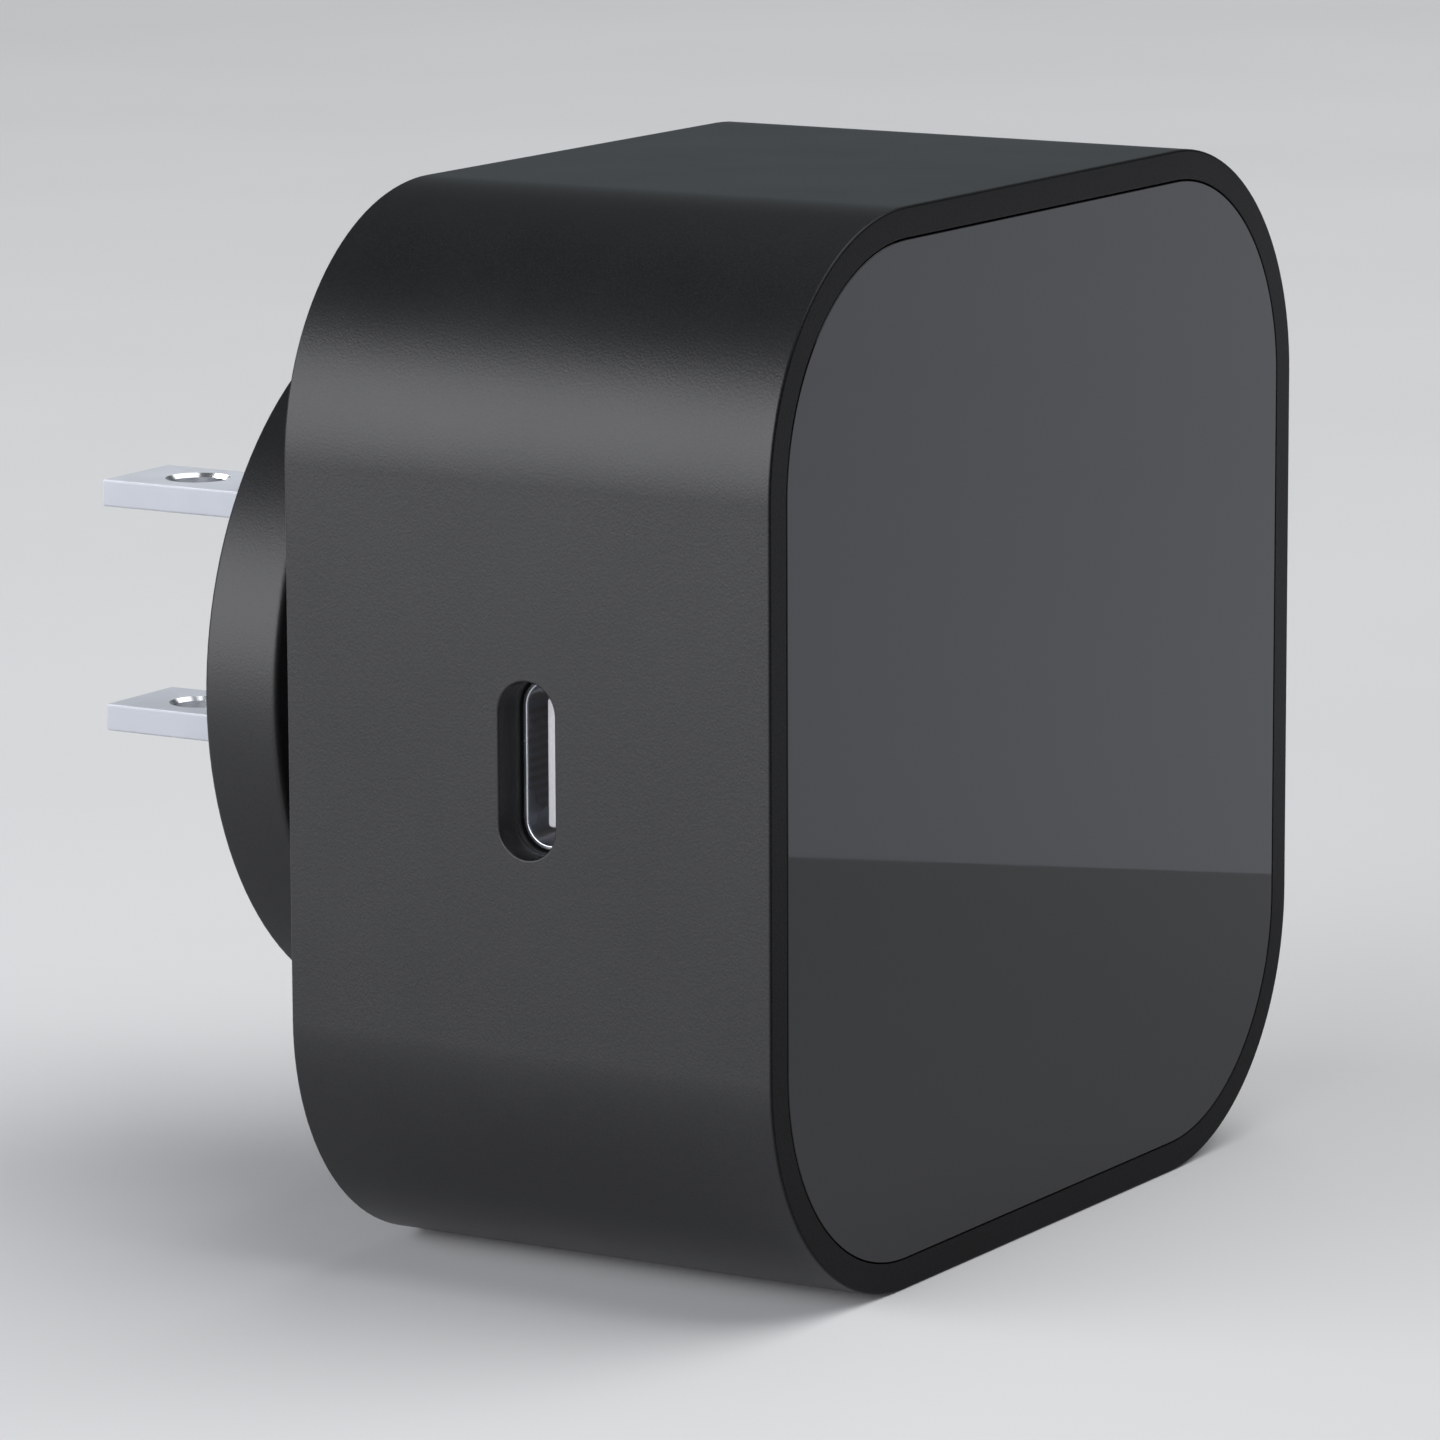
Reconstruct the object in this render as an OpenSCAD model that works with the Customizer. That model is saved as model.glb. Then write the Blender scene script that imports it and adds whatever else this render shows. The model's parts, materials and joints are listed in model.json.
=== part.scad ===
// USB wall charger with a swivel plug head.
// +Y points into the wall, +Z is up and +X is to the right as seen from the front.
// The origin is the centre of the plug disc's wall face.

/* [Housing] */
// Width and height of the square housing
body_w = 56; // [55.5:0.1:56.5]
// Depth of the housing, from its front edge to its rear edge
body_d = 28.8; // [28.6:0.1:29.2]
// Radius of the four long corners
corner_r = 13.5; // [13.2:0.1:13.8]
// Thickness of the sleeve's wall
wall_t = 1.6; // [1.5:0.05:1.7]
// Thickness of the front panel
panel_t = 1.6; // [1.4:0.1:1.6]
// Seam between the front panel and the sleeve
panel_seam = 0.08; // [0.05:0.01:0.12]

/* [Plug head] */
// Radius of the plug disc
disc_r = 19.65; // [19.4:0.05:20]
// Thickness of the plug disc
disc_t = 4.6; // [4.4:0.1:4.8]
// Distance from the housing's back to the plug disc
standoff = 6.4; // [6.4:0.1:7]
// Height of the blade pair's middle above the disc's centre
blade_rise = 1.1; // [0.9:0.1:1.2]
// Radius of the swivel hub's shaft
hub_r = 8.5; // [8.4:0.05:8.6]
// Radial running clearance between the hub and its bearing
hub_clearance = 0.05; // [0.03:0.01:0.08]

/* [Blades] */
// Distance between the blades' middles
blade_pitch = 12.7; // [12.7]
// Width of a blade
blade_w = 6.35; // [6.3:0.05:6.4]
// Thickness of a blade
blade_t = 1.52; // [1.45:0.01:1.6]
// Length of a blade beyond the wall face
blade_l = 18.3; // [16:0.1:18.3]
// Radius of the hole in a blade
blade_hole_r = 1.6; // [1.5:0.05:1.65]
// Distance from the wall face to the hole's middle
blade_hole_y = 14; // [11.9:0.1:14.2]

/* [USB-C port] */
// Distance from the housing's front edge to the port's middle
port_depth = 14.3; // [14.2:0.1:14.4]
// Width of the slot in the sleeve
slot_w = 3.35; // [3.3:0.05:3.6]
// Length of the slot in the sleeve
slot_l = 9.1; // [9.1:0.05:9.4]
// Distance from the sleeve's side to the receptacle's mouth
port_recess = 2.15; // [2.1:0.05:2.4]

/* [Hidden] */
$fn = 96;
eps = 0.01;

// Levels along Y, from the wall to the housing's front.
disc_back_y = -disc_t;
neck_gap = 0.3;
neck_end_y = disc_back_y - neck_gap;
rear_y = disc_back_y - standoff;
front_y = rear_y - body_d;
cover_t = 1.8;
cover_front_y = rear_y - cover_t;
panel_back_y = front_y + panel_t;
adhesive_t = 0.3;
frame_t = 1.6;
frame_front_y = panel_back_y + adhesive_t;
frame_back_y = frame_front_y + frame_t;
port_y = front_y + port_depth;

// Widths inside the sleeve.
inner_w = body_w - 2 * wall_t;
inner_r = corner_r - wall_t;
ledge_w = 1.2;
ledge_t = 1;
window_w = inner_w - 2 * ledge_w;
window_r = inner_r - ledge_w;

// Circuit board and the four screws that clamp cover, board and front frame together.
shell_w = 3.16;
shell_l = 8.94;
shell_t = 0.3;
board_t = 1.6;
board_front_y = port_y + shell_w / 2;
board_back_y = board_front_y + board_t;
board_w = window_w - 0.8;
post_at = 19.6;
post_r = 2.8;
screw_r = 1.1;
screw_head_r = 2.1;
screw_head_t = 1.1;
screw_clearance = 0.15;
screw_thread_l = 7;

// Swivel bearing.
neck_r = 15;
neck_foot = 1.4;
bearing_r = hub_r + hub_clearance;
boss_r = 11.6;
boss_end_y = cover_front_y - 1.6;
washer_t = 0.6;
washer_front_y = boss_end_y - washer_t;
ring_t = 0.7;
ring_back_y = washer_front_y - 1;
ring_groove_d = 0.6;
hub_end_y = ring_back_y - ring_t - 0.9;
hub_hollow_r = hub_r - 1.6;
flange_r = 14.2;
flange_t = 2;
flange_front_y = disc_back_y + flange_t;
flange_play = 0.05;

// The stop lug and the detent run on one circle: the lug over its upper half, the detent below.
track_r = 11.8;
lug_r = 0.8;
lug_l = 1.2;
stop_slot_r = lug_r + 0.15;
stop_slot_d = 1.5;
detent_groove_r = 1;
detent_groove_d = 0.6;
dimple_r = 1.2;
dimple_d = 0.9;

// Blade roots, in the hub's front face, and their tails down the hub.
root_t = 1.2;
tail_w = 3;
tail_t = 0.8;
ring_tail_z = 5.2;
centre_tail_z = -0.8;
carrier_t = 2;
contact_t = 0.6;
contact_proud = 0.3;
contact_end_y = hub_end_y - contact_proud;
ring_contact_out_r = 6.2;
ring_contact_in_r = 4.2;
centre_contact_r = 1.8;
hub_screw_at = 5;
hub_screw_r = 0.7;

// ---- Helpers ----

// Extrudes a shape drawn in X and Z from y_back to y_front.
module slab(y_back, y_front) {
    translate([0, y_back, 0])
        rotate([90, 0, 0])
            linear_extrude(y_back - y_front)
                children();
}

// Extrudes a shape drawn in Y and Z from x_left to x_right.
module across(x_left, x_right) {
    translate([x_left, 0, 0])
        rotate([90, 0, 90])
            linear_extrude(x_right - x_left)
                children();
}

// Turns a shape drawn in radius and depth about the Y axis, depth growing towards the front.
module turned(y_back) {
    translate([0, y_back, 0])
        rotate([90, 0, 0])
            rotate_extrude()
                children();
}

module rounded_rectangle(w, h, r) {
    square([w - 2 * r, h], center = true);
    square([w, h - 2 * r], center = true);
    for (x = [-1, 1], z = [-1, 1])
        translate([x * (w / 2 - r), z * (h / 2 - r)])
            circle(r);
}

module rounded_square(w, r) {
    rounded_rectangle(w, w, r);
}

module stadium(w, l) {
    square([w, l - w], center = true);
    for (z = [-1, 1])
        translate([0, z * (l - w) / 2])
            circle(w / 2);
}

module annulus(r_out, r_in) {
    difference() {
        circle(r_out);
        circle(r_in);
    }
}

// Half of a ring track with round ends, above the axis or, with side = -1, below it.
module half_track(track, half_w, side) {
    reach = track + half_w;
    intersection() {
        annulus(track + half_w, track - half_w);
        translate([0, side * reach / 2])
            square([2 * reach, reach], center = true);
    }
    for (x = [-track, track])
        translate([x, 0])
            circle(half_w);
}

// A strip of constant thickness bent along the given points.
module bent_strip(points, t) {
    for (i = [0 : len(points) - 2]) {
        run = points[i + 1] - points[i];
        translate(points[i])
            rotate(atan2(run.y, run.x))
                translate([0, -t / 2])
                    square([norm(run), t]);
    }
    for (p = points)
        translate(p)
            circle(t / 2);
}

module at_posts(distance) {
    for (x = [-1, 1], z = [-1, 1])
        translate([x * distance, 0, z * distance])
            children();
}

// A box that stands on the board's front face.
module front_box(x, z, w, d, h) {
    translate([x - w / 2, board_front_y - h, z - d / 2])
        cube([w, h, d]);
}

// A box that stands on the board's back face.
module back_box(x, z, w, d, h) {
    translate([x - w / 2, board_back_y, z - d / 2])
        cube([w, h, d]);
}

// A round can that stands on the board's front face, with a step at its rubber foot.
module standing_can(x, z, r, h) {
    foot_t = 0.8;
    translate([x, 0, z]) {
        slab(board_front_y, board_front_y - foot_t) circle(r - 0.3);
        slab(board_front_y - foot_t, board_front_y - h) circle(r);
    }
}

// A flat leaded disc that stands on its edge on the board's front face.
module standing_disc(x, z, r, t) {
    lead_l = 1;
    translate([x, board_front_y - lead_l - r, z - t / 2])
        cylinder(r = r, h = t);
    for (side = [-1, 1])
        translate([x + side * r * 0.6, 0, z])
            slab(board_front_y, board_front_y - lead_l - r / 2)
                circle(0.3);
}

// A chip on the board's back face, with a row of leads along two sides.
module leaded_chip(x, z, w, d, h, pins) {
    lead_reach = 0.8;
    pitch = d / pins;
    back_box(x, z, w, d, h);
    for (side = [-1, 1], i = [0 : pins - 1])
        back_box(x + side * (w + lead_reach) / 2, z - d / 2 + (i + 0.5) * pitch,
                 lead_reach + eps, pitch * 0.45, h * 0.4);
}

// ---- Housing ----

module housing_sleeve() {
    color("dimgray")
        difference() {
            slab(rear_y, front_y) rounded_square(body_w, corner_r);
            slab(rear_y + 1, front_y - 1) rounded_square(window_w, window_r);
            slab(rear_y + 1, cover_front_y) rounded_square(inner_w, inner_r);
            slab(cover_front_y - ledge_t, frame_back_y + ledge_t) rounded_square(inner_w, inner_r);
            slab(frame_back_y, front_y - 1) rounded_square(inner_w, inner_r);
            across(-body_w / 2 - 1, -window_w / 2 + 1)
                translate([port_y, 0])
                    stadium(slot_w, slot_l);
        }
}

module front_panel() {
    color("slategray")
        slab(panel_back_y, front_y)
            rounded_square(inner_w - 2 * panel_seam, inner_r - panel_seam);
}

// Opening in the front frame, which leaves a round pad under each post.
module frame_window(pad_r) {
    difference() {
        rounded_square(44, 6);
        for (x = [-1, 1], z = [-1, 1])
            translate([x * post_at, z * post_at])
                circle(pad_r);
    }
}

module panel_adhesive() {
    color("white")
        slab(frame_front_y, panel_back_y)
            difference() {
                rounded_square(inner_w - 1.6, inner_r - 0.8);
                frame_window(4.5);
            }
}

module front_frame() {
    color("darkslategray")
        difference() {
            union() {
                slab(frame_back_y, frame_front_y)
                    difference() {
                        rounded_square(inner_w, inner_r);
                        frame_window(4.5);
                    }
                at_posts(post_at)
                    slab(board_front_y, frame_back_y) circle(post_r);
            }
            at_posts(post_at)
                slab(board_front_y + 1, board_front_y - screw_thread_l) circle(screw_r);
        }
}

module rear_cover() {
    color("darkslategray")
        difference() {
            union() {
                slab(rear_y, cover_front_y) rounded_square(inner_w, inner_r);
                slab(neck_end_y, rear_y) circle(neck_r);
                translate([0, rear_y, 0])
                    rotate([-90, 0, 0])
                        cylinder(r1 = neck_r + neck_foot, r2 = neck_r, h = neck_foot);
                slab(cover_front_y, boss_end_y) circle(boss_r);
                at_posts(post_at)
                    slab(cover_front_y, board_back_y) circle(post_r);
            }
            slab(neck_end_y + 1, boss_end_y - 1) circle(bearing_r);
            slab(neck_end_y + 1, neck_end_y - stop_slot_d) half_track(track_r, stop_slot_r, 1);
            translate([0, neck_end_y, -track_r])
                cube([9.2, 3, 2.8], center = true);
            at_posts(post_at) {
                slab(rear_y + 1, board_back_y - 1) circle(screw_r + screw_clearance);
                translate([0, rear_y - screw_head_t, 0])
                    rotate([-90, 0, 0])
                        cylinder(r1 = screw_r + screw_clearance, r2 = screw_head_r + screw_clearance,
                                 h = screw_head_t + eps);
            }
        }
}

module housing_screws() {
    tip_y = board_front_y - screw_thread_l + 0.5;
    color("silver")
        at_posts(post_at)
            difference() {
                union() {
                    slab(rear_y - screw_head_t, tip_y) circle(screw_r);
                    translate([0, rear_y - screw_head_t, 0])
                        rotate([-90, 0, 0])
                            cylinder(r1 = screw_r, r2 = screw_head_r, h = screw_head_t - 0.1);
                }
                for (turn = [0, 90])
                    translate([0, rear_y, 0])
                        rotate([0, turn, 0])
                            cube([2.2, 1.4, 0.5], center = true);
            }
}

module port_collar() {
    color("black")
        across(-inner_w / 2, -board_w / 2 - 0.1)
            translate([port_y, 0])
                difference() {
                    stadium(slot_w + 2.4, slot_l + 2.4);
                    stadium(slot_w, slot_l);
                }
}

// Outline of the sheets that lie in the front frame's opening.
module sheet_outline() {
    intersection() {
        rounded_square(43, 5.5);
        frame_window(4.8);
    }
}

spreader_t = 0.6;
sheet_t = 0.2;
spreader_back_y = frame_back_y - 0.1;

module heat_spreader() {
    color("lightgray")
        slab(spreader_back_y, spreader_back_y - spreader_t) sheet_outline();
}

module insulation_sheet() {
    color("ivory")
        slab(spreader_back_y - spreader_t, spreader_back_y - spreader_t - sheet_t) sheet_outline();
}

// ---- Swivel plug head ----

upper_blade_z = blade_rise + blade_pitch / 2;
lower_blade_z = blade_rise - blade_pitch / 2;
hub_screw_z = blade_rise;

module blade_slots() {
    for (z = [upper_blade_z, lower_blade_z])
        translate([0, z])
            square([blade_w, blade_t], center = true);
}

module plug_disc() {
    wall_edge = 0.3;
    housing_edge = 0.45;
    color("dimgray")
        difference() {
            turned(0)
                polygon([[0, 0], [disc_r - wall_edge, 0], [disc_r, wall_edge],
                         [disc_r, disc_t - housing_edge], [disc_r - housing_edge, disc_t], [0, disc_t]]);
            slab(flange_front_y, disc_back_y - 1) circle(flange_r + flange_play);
            slab(1, flange_front_y - 1) blade_slots();
            for (x = [-hub_screw_at, hub_screw_at])
                translate([x, 0, hub_screw_z])
                    slab(-0.8, flange_front_y - 1) circle(hub_screw_r);
        }
}

// Outline of a blade's root, from the blade's outer face to its tail's inner face.
module root_outline(blade_z, tail_z) {
    top = max(blade_z + blade_t / 2, tail_z + tail_t / 2);
    bottom = min(blade_z - blade_t / 2, tail_z - tail_t / 2);
    translate([-blade_w / 2, bottom])
        square([blade_w, top - bottom]);
}

module tail_outline(tail_z) {
    translate([0, tail_z])
        square([tail_w, tail_t], center = true);
}

module blade(blade_z, tail_z) {
    chamfer = 0.14;
    tip_chamfer = 0.25;
    difference() {
        union() {
            translate([0, 0, blade_z])
                rotate([0, 90, 0])
                    translate([0, 0, -blade_w / 2])
                        linear_extrude(blade_w)
                            polygon([[-blade_t / 2, flange_front_y], [blade_t / 2, flange_front_y],
                                     [blade_t / 2, blade_l - tip_chamfer],
                                     [blade_t / 2 - tip_chamfer, blade_l],
                                     [-blade_t / 2 + tip_chamfer, blade_l],
                                     [-blade_t / 2, blade_l - tip_chamfer]]);
            slab(flange_front_y, flange_front_y - root_t) root_outline(blade_z, tail_z);
            slab(flange_front_y - root_t, contact_end_y + contact_t) tail_outline(tail_z);
        }
        translate([0, blade_hole_y, blade_z]) {
            cylinder(r = blade_hole_r, h = blade_t + 1, center = true);
            for (side = [0, 180])
                rotate([side, 0, 0])
                    translate([0, 0, blade_t / 2 - chamfer])
                        cylinder(r1 = blade_hole_r, r2 = blade_hole_r + chamfer, h = chamfer + eps / 10);
        }
    }
}

module blade_upper() {
    color("gainsboro") blade(upper_blade_z, ring_tail_z);
}

module blade_lower() {
    color("gainsboro") blade(lower_blade_z, centre_tail_z);
}

module swivel_hub() {
    color("darkslategray")
        difference() {
            union() {
                slab(flange_front_y, disc_back_y) circle(flange_r);
                slab(disc_back_y, hub_end_y) circle(hub_r);
                translate([0, 0, track_r])
                    slab(disc_back_y, disc_back_y - lug_l) circle(lug_r);
            }
            slab(disc_back_y, hub_end_y - 1) circle(hub_hollow_r);
            slab(ring_back_y, ring_back_y - ring_t) annulus(hub_r + 1, hub_r - ring_groove_d);
            slab(disc_back_y + detent_groove_d, disc_back_y - eps)
                half_track(track_r, detent_groove_r, -1);
            for (turn = [0, 90, 180])
                rotate([0, turn, 0])
                    translate([track_r, disc_back_y + dimple_d - dimple_r, 0])
                        sphere(dimple_r);
            slab(flange_front_y + 1, flange_front_y - root_t) {
                root_outline(upper_blade_z, ring_tail_z);
                root_outline(lower_blade_z, centre_tail_z);
            }
            slab(flange_front_y, disc_back_y - 1) {
                tail_outline(ring_tail_z);
                tail_outline(centre_tail_z);
            }
            for (x = [-hub_screw_at, hub_screw_at])
                translate([x, 0, hub_screw_z])
                    slab(flange_front_y + 1, disc_back_y - 1) circle(hub_screw_r + 0.1);
        }
}

module hub_screws() {
    color("silver")
        for (x = [-hub_screw_at, hub_screw_at])
            translate([x, 0, hub_screw_z])
                difference() {
                    union() {
                        slab(-0.9, disc_back_y) circle(hub_screw_r);
                        slab(disc_back_y, disc_back_y - 0.9) circle(1.4);
                    }
                    translate([0, disc_back_y - 0.9, 0])
                        cube([1.8, 0.8, 0.35], center = true);
                }
}

module contact_carrier() {
    contact_seat_y = contact_end_y + contact_t;
    color("ivory")
        difference() {
            slab(hub_end_y + carrier_t, hub_end_y) circle(hub_hollow_r);
            slab(hub_end_y + carrier_t + 1, hub_end_y) {
                tail_outline(ring_tail_z);
                tail_outline(centre_tail_z);
            }
            slab(contact_seat_y, hub_end_y - 1) {
                annulus(ring_contact_out_r, ring_contact_in_r);
                circle(centre_contact_r);
            }
        }
}

module ring_contact() {
    color("gold")
        slab(contact_end_y + contact_t, contact_end_y)
            annulus(ring_contact_out_r, ring_contact_in_r);
}

module centre_contact() {
    color("gold")
        slab(contact_end_y + contact_t, contact_end_y) circle(centre_contact_r);
}

module retaining_ring() {
    color("silver")
        slab(ring_back_y, ring_back_y - ring_t)
            difference() {
                annulus(10.4, hub_r - ring_groove_d + 0.05);
                translate([0, -9])
                    square([6, 8], center = true);
            }
}

// One corner of the wave washer's cross-section at the given angle.
function wave_point(angle, r, lift) = [
    r * cos(angle),
    (washer_front_y + ring_back_y) / 2 + 0.28 * cos(3 * angle) + lift,
    r * sin(angle)
];

module wave_washer() {
    steps = 72;
    half_t = 0.12;
    in_r = 8.75;
    out_r = 10.6;
    corners = [[in_r, -half_t], [out_r, -half_t], [out_r, half_t], [in_r, half_t]];
    points = [for (i = [0 : steps - 1], c = corners) wave_point(i * 360 / steps, c[0], c[1])];
    faces = [
        for (i = [0 : steps - 1], k = [0 : 3])
            let (a = 4 * i, b = 4 * ((i + 1) % steps), next = (k + 1) % 4)
                each [[a + k, b + k, b + next], [a + k, b + next, a + next]]
    ];
    color("silver") polyhedron(points, faces);
}

module thrust_washer() {
    color("darkgray")
        slab(boss_end_y, washer_front_y) annulus(11.4, bearing_r + 0.1);
}

module detent_spring() {
    floor_y = neck_end_y - 1.5;
    bow_y = neck_end_y - 0.45;
    strip_t = 0.25;
    strip_w = 2.2;
    tip_r = 0.9;
    color("silver")
        translate([0, 0, -track_r]) {
            translate([0, 0, -strip_w / 2])
                linear_extrude(strip_w)
                    bent_strip([[-4.3, floor_y + strip_t / 2], [-1.6, bow_y], [1.6, bow_y],
                                [4.3, floor_y + strip_t / 2]], strip_t);
            translate([0, disc_back_y + 0.35 - tip_r, 0])
                sphere(tip_r);
        }
}

module contact_finger(foot_x, tip_x, tip_gap) {
    strip_t = 0.4;
    strip_w = 3;
    foot_y = board_back_y + strip_t / 2;
    tip_y = contact_end_y - strip_t / 2 - tip_gap;
    away = sign(foot_x - tip_x);
    translate([0, 0, -strip_w / 2])
        linear_extrude(strip_w)
            bent_strip([[foot_x, foot_y], [foot_x - away * 3, foot_y],
                        [tip_x + away * 1.2, tip_y - 0.5], [tip_x, tip_y],
                        [tip_x - away * 0.8, tip_y - 0.6]], strip_t);
}

contact_gap = 0.05;

module ring_contact_finger() {
    color("goldenrod")
        contact_finger(15, (ring_contact_in_r + ring_contact_out_r) / 2, contact_gap);
}

module centre_contact_finger() {
    color("goldenrod") contact_finger(-13.5, 0, contact_gap);
}

// ---- Circuit board and USB-C receptacle ----

shell_mouth_x = -body_w / 2 + port_recess;
shell_depth = 7.3;
leg_w = 1.1;
leg_t = 0.3;
leg_xs = [shell_mouth_x + 2.2, shell_mouth_x + 6.2];

module shell_legs(play, y_back) {
    for (x = leg_xs, side = [-1, 1])
        translate([x - leg_w / 2 - play, port_y - 0.5, side * (shell_l / 2 - leg_t / 2) - leg_t / 2 - play])
            cube([leg_w + 2 * play, y_back - port_y + 0.5, leg_t + 2 * play]);
}

module main_board() {
    color("darkgreen")
        difference() {
            slab(board_back_y, board_front_y) rounded_square(board_w, window_r - 0.4);
            at_posts(post_at)
                slab(board_back_y + 1, board_front_y - 1) circle(screw_r + screw_clearance);
            shell_legs(0.15, board_back_y + 1);
            translate([-9.5, board_back_y - board_t / 2, -12])
                cube([1, board_t + 1, 14], center = true);
        }
}

module usb_c_shell() {
    color("silver") {
        across(shell_mouth_x, shell_mouth_x + shell_depth)
            translate([port_y, 0])
                difference() {
                    stadium(shell_w, shell_l);
                    stadium(shell_w - 2 * shell_t, shell_l - 2 * shell_t);
                }
        shell_legs(0, board_back_y);
    }
}

tongue_w = 6.69;
tongue_t = 0.7;
tongue_tip_x = shell_mouth_x + 0.4;
base_x = shell_mouth_x + 5.4;

module usb_c_tongue() {
    color("silver") {
        across(base_x, shell_mouth_x + shell_depth)
            translate([port_y, 0])
                stadium(shell_w - 2 * shell_t, shell_l - 2 * shell_t);
        across(tongue_tip_x, base_x)
            translate([port_y, 0])
                rounded_rectangle(tongue_t, tongue_w, 0.2);
    }
}

module usb_c_contacts() {
    pins = 12;
    pitch = 0.5;
    pad_w = 0.26;
    pad_t = 0.05;
    pad_l = 3.6;
    pad_setback = 0.9;
    color("gold")
        for (side = [-1, 1], i = [0 : pins - 1])
            translate([tongue_tip_x + pad_setback, port_y + side * (tongue_t + pad_t) / 2 - pad_t / 2,
                       (i - (pins - 1) / 2) * pitch - pad_w / 2])
                cube([pad_l, pad_t, pad_w]);
}

// ---- Parts on the board's front face ----

module fuse() {
    color("saddlebrown") standing_can(2, -20, 3.4, 7);
}

module varistor() {
    color("royalblue") standing_disc(9.4, -8.5, 3.4, 3.2);
}

module x_capacitor() {
    color("gold") front_box(9, -14.2, 9, 5, 10);
}

choke_x = 18.7;
choke_z = -10.6;
choke_major_r = 3.4;
choke_minor_r = 1.3;
wire_r = 0.25;
choke_y = board_front_y - choke_minor_r - 2 * wire_r - 0.1;

module choke_core() {
    color("darkslategray")
        translate([choke_x, choke_y, choke_z])
            rotate([90, 0, 0])
                rotate_extrude()
                    translate([choke_major_r, 0])
                        circle(choke_minor_r);
}

module choke_windings() {
    turns = 7;
    turn_step = 19;
    color("chocolate")
        for (half = [0, 180], i = [0 : turns - 1])
            translate([choke_x, choke_y, choke_z])
                rotate([0, half + (i - (turns - 1) / 2) * turn_step, 0])
                    translate([choke_major_r, 0, 0])
                        rotate_extrude()
                            translate([choke_minor_r + wire_r + 0.05, 0])
                                circle(wire_r);
}

module bulk_capacitors() {
    can_r = 4.8;
    can_l = 20;
    bung_l = 1;
    can_y = board_front_y - can_r - 0.2;
    color("navy")
        for (x = [10, 19.9])
            translate([x, can_y, -3.5]) {
                cylinder(r = can_r - 0.4, h = bung_l);
                translate([0, 0, bung_l])
                    cylinder(r = can_r, h = can_l - bung_l);
            }
}

transformer_x = -4.6;
transformer_z = 9.5;
core_w = 18;
core_l = 16;
core_h = 6;
leg_outer = 2;
leg_centre = 6;
core_back = 3;
winding_h = 10.2;
transformer_h = 11;
pin_l = 0.5;
transformer_y = board_front_y - transformer_h / 2 - pin_l;
window_l = core_l - 2 * core_back;
core_window_w = (core_w - leg_centre) / 2 - leg_outer;
wound_w = core_w - 2 * leg_outer - 0.4;

module at_transformer() {
    translate([transformer_x, transformer_y, transformer_z])
        children();
}

module transformer_core() {
    core_gap = 0.05;
    color("black")
        at_transformer()
            difference() {
                cube([core_w, core_h, core_l], center = true);
                for (side = [-1, 1])
                    translate([side * (leg_centre + core_window_w) / 2, 0, 0])
                        cube([core_window_w, core_h + 1, window_l], center = true);
                cube([core_w + 1, core_h + 1, core_gap], center = true);
            }
}

bobbin_in = leg_centre + 0.3;
bobbin_out = bobbin_in + 1.2;
bobbin_l = window_l - 0.2;
bobbin_flange_t = 0.8;

module transformer_bobbin() {
    color("dimgray")
        at_transformer()
            difference() {
                union() {
                    cube([bobbin_out, bobbin_out, bobbin_l], center = true);
                    for (side = [-1, 1])
                        translate([0, 0, side * (bobbin_l - bobbin_flange_t) / 2])
                            cube([wound_w, transformer_h, bobbin_flange_t], center = true);
                }
                cube([bobbin_in, bobbin_in, bobbin_l + 1], center = true);
            }
}

wound_l = bobbin_l - 2 * bobbin_flange_t;
tape_t = 0.2;

module transformer_winding() {
    color("chocolate")
        at_transformer()
            difference() {
                cube([wound_w - 2 * tape_t, winding_h - 2 * tape_t, wound_l], center = true);
                cube([bobbin_out, bobbin_out, wound_l + 1], center = true);
            }
}

module transformer_tape() {
    color("gold")
        at_transformer()
            difference() {
                cube([wound_w, winding_h, wound_l], center = true);
                cube([wound_w - 2 * tape_t, winding_h - 2 * tape_t, wound_l + 1], center = true);
            }
}

module transformer_pins() {
    color("silver")
        for (side = [-1, 1], x = [-4.5 : 3 : 4.5])
            translate([transformer_x + x, 0, transformer_z + side * (bobbin_l - bobbin_flange_t) / 2])
                slab(board_front_y, board_front_y - pin_l) circle(0.3);
}

module thermal_pad() {
    pad_back_y = transformer_y - transformer_h / 2;
    color("lightblue")
        translate([transformer_x, 0, transformer_z])
            slab(pad_back_y, spreader_back_y) rounded_square(11, 0.5);
}

module isolation_barrier() {
    color("ivory") front_box(-14.6, 8, 0.6, 20, 9);
}

module y_capacitor() {
    color("royalblue") standing_disc(-9, -21, 2.6, 2.6);
}

module output_capacitors() {
    color("silver")
        for (z = [-9.4, 9.4])
            standing_can(-19.6, z, 3.6, 9);
}

module optocoupler() {
    color("black")
        difference() {
            front_box(-9.5, -9, 6.4, 4.6, 3.4);
            translate([-12.7, board_front_y - 3.4, -9])
                rotate([0, 90, 0])
                    cylinder(r = 0.6, h = 0.8);
        }
}

// ---- Parts on the board's back face ----

module bridge_rectifier() {
    color("black") leaded_chip(18, -8, 5, 6.5, 2.2, 2);
}

module power_transistor() {
    color("black") leaded_chip(17.5, 8.5, 6.1, 6.6, 2.3, 3);
}

module controller_chip() {
    color("black") leaded_chip(4.5, 15.5, 3.9, 4.9, 1.5, 4);
}

module sync_rectifier() {
    color("black") leaded_chip(-17, 9, 4.9, 5.8, 1.1, 4);
}

module power_delivery_chip() {
    color("black") leaded_chip(-17.5, -8.5, 4, 4, 0.9, 6);
}

module chip_row(x, z, count, w, d, h) {
    end_l = 0.35;
    for (i = [0 : count - 1])
        translate([0, 0, i * 2.2]) {
            back_box(x, z, w - 2 * end_l, d, h);
            for (side = [-1, 1])
                back_box(x + side * (w - end_l) / 2, z, end_l, d, h + 0.05);
        }
}

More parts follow.
